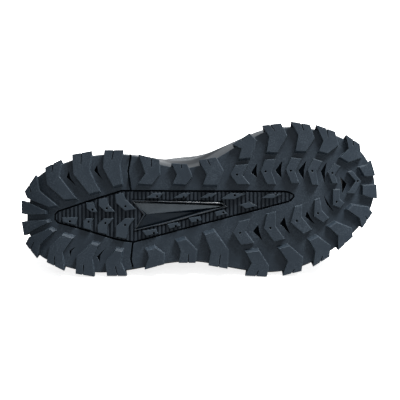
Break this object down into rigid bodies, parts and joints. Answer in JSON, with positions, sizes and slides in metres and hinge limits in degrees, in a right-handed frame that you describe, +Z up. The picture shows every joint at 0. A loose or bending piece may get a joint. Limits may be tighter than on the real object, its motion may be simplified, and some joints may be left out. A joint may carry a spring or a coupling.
{
  "type": "trail running shoe",
  "caption": "Left trail running shoe with a deeply lugged black rubber outsole, a spear-shaped centre inlay with an arrow window, lying on its outer side.",
  "frame": {"origin": "centre of the shoe's bounding box on the floor that it lies on", "axes": "+X from heel to toe, the sole facing -Y and leaning slightly up, +Z up from the floor, which the shoe's outer side touches"},
  "size_m": [0.292, 0.1206, 0.1234],
  "materials": {
    "outsole_rubber": "matte",
    "inlay_rubber": "matte",
    "gloss_plate": "gloss",
    "midsole_foam": "satin",
    "upper_mesh": "matte",
    "insole_cloth": "matte",
    "tongue_mesh": "matte",
    "lace_cord": "matte"
  },
  "bodies": {
    "root": {"outsole_heel": "outsole_rubber", "outsole_forefoot": "outsole_rubber", "outsole_center": "inlay_rubber", "shank_plate": "gloss_plate", "midsole": "midsole_foam", "upper": "upper_mesh", "insole": "insole_cloth", "tongue": "tongue_mesh", "lace": "lace_cord"}
  },
  "joints": []
}
